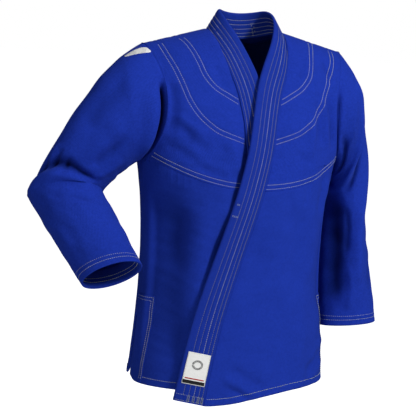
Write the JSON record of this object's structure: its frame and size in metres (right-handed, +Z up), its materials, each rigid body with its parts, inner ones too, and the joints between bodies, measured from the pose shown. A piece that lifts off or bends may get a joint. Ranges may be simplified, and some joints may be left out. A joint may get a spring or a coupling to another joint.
{
  "type": "martial arts uniform",
  "caption": "Royal blue wrap-front grappling jacket, worn shape, with a folded collar band, hinged sleeves and skirt fronts that open.",
  "frame": {"origin": "centre of the neck base, where the wearer's neck or a stand carries the jacket", "axes": "+Z up, -Y out of the front, +X towards the wearer's left"},
  "size_m": [0.7272, 0.279, 0.7513],
  "materials": {
    "pearl_weave": "pearl weave cotton, matt",
    "skirt_cloth": "diamond weave cotton, matt",
    "collar_cloth": "ripstop cotton, matt, contrast stitched",
    "lining_cloth": "plain weave cotton, matt",
    "collar_core": "pressed cotton and foam strip",
    "white_tag": "woven satin tag",
    "thread": "pale grey-gold polyester thread"
  },
  "bodies": {
    "torso": {"back_panel": "pearl_weave", "back_skirt": "skirt_cloth", "back_hem_tape": "collar_cloth", "back_yoke_lining": "lining_cloth", "collar_cover": "collar_cloth", "collar_core": "collar_core", "right_chest_panel": "pearl_weave", "right_shoulder_lining": "lining_cloth", "right_side_panel": "skirt_cloth", "right_vent_patch": "collar_cloth", "right_sleeve_head": "pearl_weave", "left_chest_panel": "pearl_weave", "left_shoulder_lining": "lining_cloth", "left_side_panel": "skirt_cloth", "left_vent_patch": "collar_cloth", "left_sleeve_head": "pearl_weave"},
    "right_upper_sleeve": {"right_upper_sleeve": "pearl_weave", "right_sleeve_elbow": "pearl_weave", "shoulder_emblem": "white_tag"},
    "right_forearm_sleeve": {"right_forearm_sleeve": "pearl_weave", "right_cuff_facing": "lining_cloth"},
    "right_front": {"right_skirt_front": "skirt_cloth", "right_front_hem_tape": "collar_cloth", "right_lapel_cover": "collar_cloth", "right_lapel_core": "collar_core", "right_lapel_end": "collar_cloth"},
    "left_upper_sleeve": {"left_upper_sleeve": "pearl_weave", "left_sleeve_elbow": "pearl_weave"},
    "left_forearm_sleeve": {"left_forearm_sleeve": "pearl_weave", "left_cuff_facing": "lining_cloth"},
    "left_front": {"left_skirt_front": "skirt_cloth", "left_front_hem_tape": "collar_cloth", "left_lapel_cover": "collar_cloth", "left_lapel_core": "collar_core", "left_lapel_end": "collar_cloth", "label": "white_tag"}
  },
  "joints": [
    {"name": "right_shoulder", "type": "hinge", "parent": "torso", "child": "right_upper_sleeve", "pos_m": [-0.2, 0, -0.033], "axis": [0, 1, 0], "range_deg": [0, 45], "deforming": ["right_sleeve_head"]},
    {"name": "right_elbow", "type": "hinge", "parent": "right_upper_sleeve", "child": "right_forearm_sleeve", "pos_m": [-0.402, 0.0442, -0.3334], "axis": [-0.4898, -0.8093, 0.3243], "range_deg": [-50, 20], "deforming": ["right_sleeve_elbow"]},
    {"name": "left_shoulder", "type": "hinge", "parent": "torso", "child": "left_upper_sleeve", "pos_m": [0.2, 0, -0.033], "axis": [0, -1, 0], "range_deg": [0, 70], "deforming": ["left_sleeve_head"]},
    {"name": "left_elbow", "type": "hinge", "parent": "left_upper_sleeve", "child": "left_forearm_sleeve", "pos_m": [0.2345, 0.07, -0.3135], "axis": [-1, 0, 0], "range_deg": [0, 60], "deforming": ["left_sleeve_elbow"]},
    {"name": "left_front_open", "type": "hinge", "parent": "torso", "child": "left_front", "pos_m": [0.15, -0.098, -0.48], "axis": [0, 0, 1], "range_deg": [0, 60]},
    {"name": "right_front_open", "type": "hinge", "parent": "torso", "child": "right_front", "pos_m": [-0.15, -0.098, -0.48], "axis": [0, 0, -1], "range_deg": [0, 21]}
  ],
  "couplings": [
    {"joint": "right_front_open", "follows": "left_front_open", "ratio": 0.35}
  ]
}
